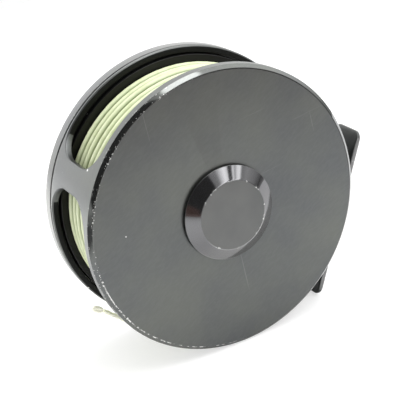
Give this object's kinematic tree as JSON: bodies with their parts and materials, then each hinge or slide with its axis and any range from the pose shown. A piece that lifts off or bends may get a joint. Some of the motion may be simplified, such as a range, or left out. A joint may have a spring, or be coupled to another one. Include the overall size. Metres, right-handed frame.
{
  "type": "fly reel",
  "caption": "Full-cage fly reel with a round drag knob, palming rim, ported spool wound with line, crank handle and a foot for a rod's reel seat. The spool turns and lifts off.",
  "frame": {"origin": "centre of the reel foot's flat seating face", "axes": "+X out of the foot towards the rod, +Y along the spool's axis from the drag knob side to the handle side, +Z along the foot"},
  "size_m": [0.095, 0.0556, 0.092],
  "materials": {
    "anodised": "dark anodised over fine machining, satin, bare metal showing on worn edges",
    "foot_anodised": "dark anodised, satin, rubbed edges",
    "knob_polished": "dark anodised, polished flank, satin top",
    "steel": "stainless, turned",
    "bronze": "sintered bearing bronze",
    "brass": "turned brass",
    "carbon": "woven carbon composite",
    "rubber": "moulded o-ring rubber",
    "fly_line": "soft coated line, pale yellow green",
    "backing": "braided cord",
    "handle_plastic": "turned acetal, satin"
  },
  "bodies": {
    "frame": {"frame": "anodised", "reel_foot": "foot_anodised", "foot_screw_upper": "steel", "foot_screw_lower": "steel", "spindle": "steel", "thrust_washer": "bronze", "carbon_washer_rear": "carbon", "carbon_washer_front": "carbon", "drag_cover": "anodised", "drag_seal": "rubber", "cover_snap_ring": "steel", "pawl_post": "steel", "click_spring": "steel", "line_tag_end": "fly_line"},
    "drag_plunger": {"pressure_plate": "steel", "thrust_ring": "steel", "spring_washer_1": "steel", "spring_washer_2": "steel", "drag_pin_1": "steel", "drag_pin_2": "steel", "drag_pin_3": "steel"},
    "drag_knob": {"drag_knob": "knob_polished", "knob_insert": "brass"},
    "drag_rotor": {"drag_rotor": "steel", "rotor_bushing": "bronze"},
    "click_pawl": {"click_pawl": "steel"},
    "spool_core": {"bearing_sleeve": "steel", "rear_inner_race": "steel", "front_inner_race": "steel"},
    "ball_cages": {"rear_ball_cage": "steel", "front_ball_cage": "steel"},
    "spool": {"spool": "anodised", "rear_outer_race": "steel", "front_outer_race": "steel", "bearing_snap_ring": "steel", "clutch_shell": "steel", "clutch_rollers": "steel", "click_gear": "brass", "backing": "backing", "fly_line": "fly_line", "counterweight": "steel", "counterweight_screw": "steel", "handle_post": "steel", "handle_washer": "steel", "handle_screw": "steel"},
    "handle": {"handle_barrel": "handle_plastic", "handle_bushing_inner": "bronze", "handle_bushing_outer": "bronze"},
    "spool_cap": {"spool_cap": "anodised", "cap_o_ring": "rubber"}
  },
  "joints": [
    {"name": "drag_travel", "type": "slide", "parent": "frame", "child": "drag_plunger", "axis": [0, 1, 0], "range_m": [0, 0.000458]},
    {"name": "drag_knob_turn", "type": "hinge", "parent": "drag_plunger", "child": "drag_knob", "pos_m": [-0.049, -0.0154, 0], "axis": [0, 1, 0], "range_deg": [0, 330]},
    {"name": "drag_rotor_spin", "type": "hinge", "parent": "frame", "child": "drag_rotor", "pos_m": [-0.049, -0.0154, 0], "axis": [0, 1, 0], "continuous": true},
    {"name": "click_pawl_swing", "type": "hinge", "parent": "frame", "child": "click_pawl", "pos_m": [-0.05881, -0.0015, 0.01845], "axis": [0, 1, 0], "range_deg": [-14, 14], "stiffness_Nm_per_rad": 0.01},
    {"name": "spool_release", "type": "slide", "parent": "frame", "child": "spool_core", "axis": [0, 1, 0], "range_m": [0, 0.034]},
    {"name": "spool_spin", "type": "hinge", "parent": "spool_core", "child": "spool", "pos_m": [-0.049, -0.0154, 0], "axis": [0, 1, 0], "continuous": true},
    {"name": "ball_cage_spin", "type": "hinge", "parent": "spool_core", "child": "ball_cages", "pos_m": [-0.049, -0.0154, 0], "axis": [0, 1, 0], "continuous": true},
    {"name": "handle_spin", "type": "hinge", "parent": "spool", "child": "handle", "pos_m": [-0.016, 0.0266, 0], "axis": [0, 1, 0], "continuous": true},
    {"name": "spool_cap_turn", "type": "hinge", "parent": "spool_core", "child": "spool_cap", "pos_m": [-0.049, -0.0154, 0], "axis": [0, 1, 0], "range_deg": [0, 720]}
  ],
  "couplings": [
    {"joint": "drag_knob_turn", "follows": "drag_travel", "rad_per_m": 12566},
    {"joint": "ball_cage_spin", "follows": "spool_spin", "ratio": 0.43333}
  ]
}
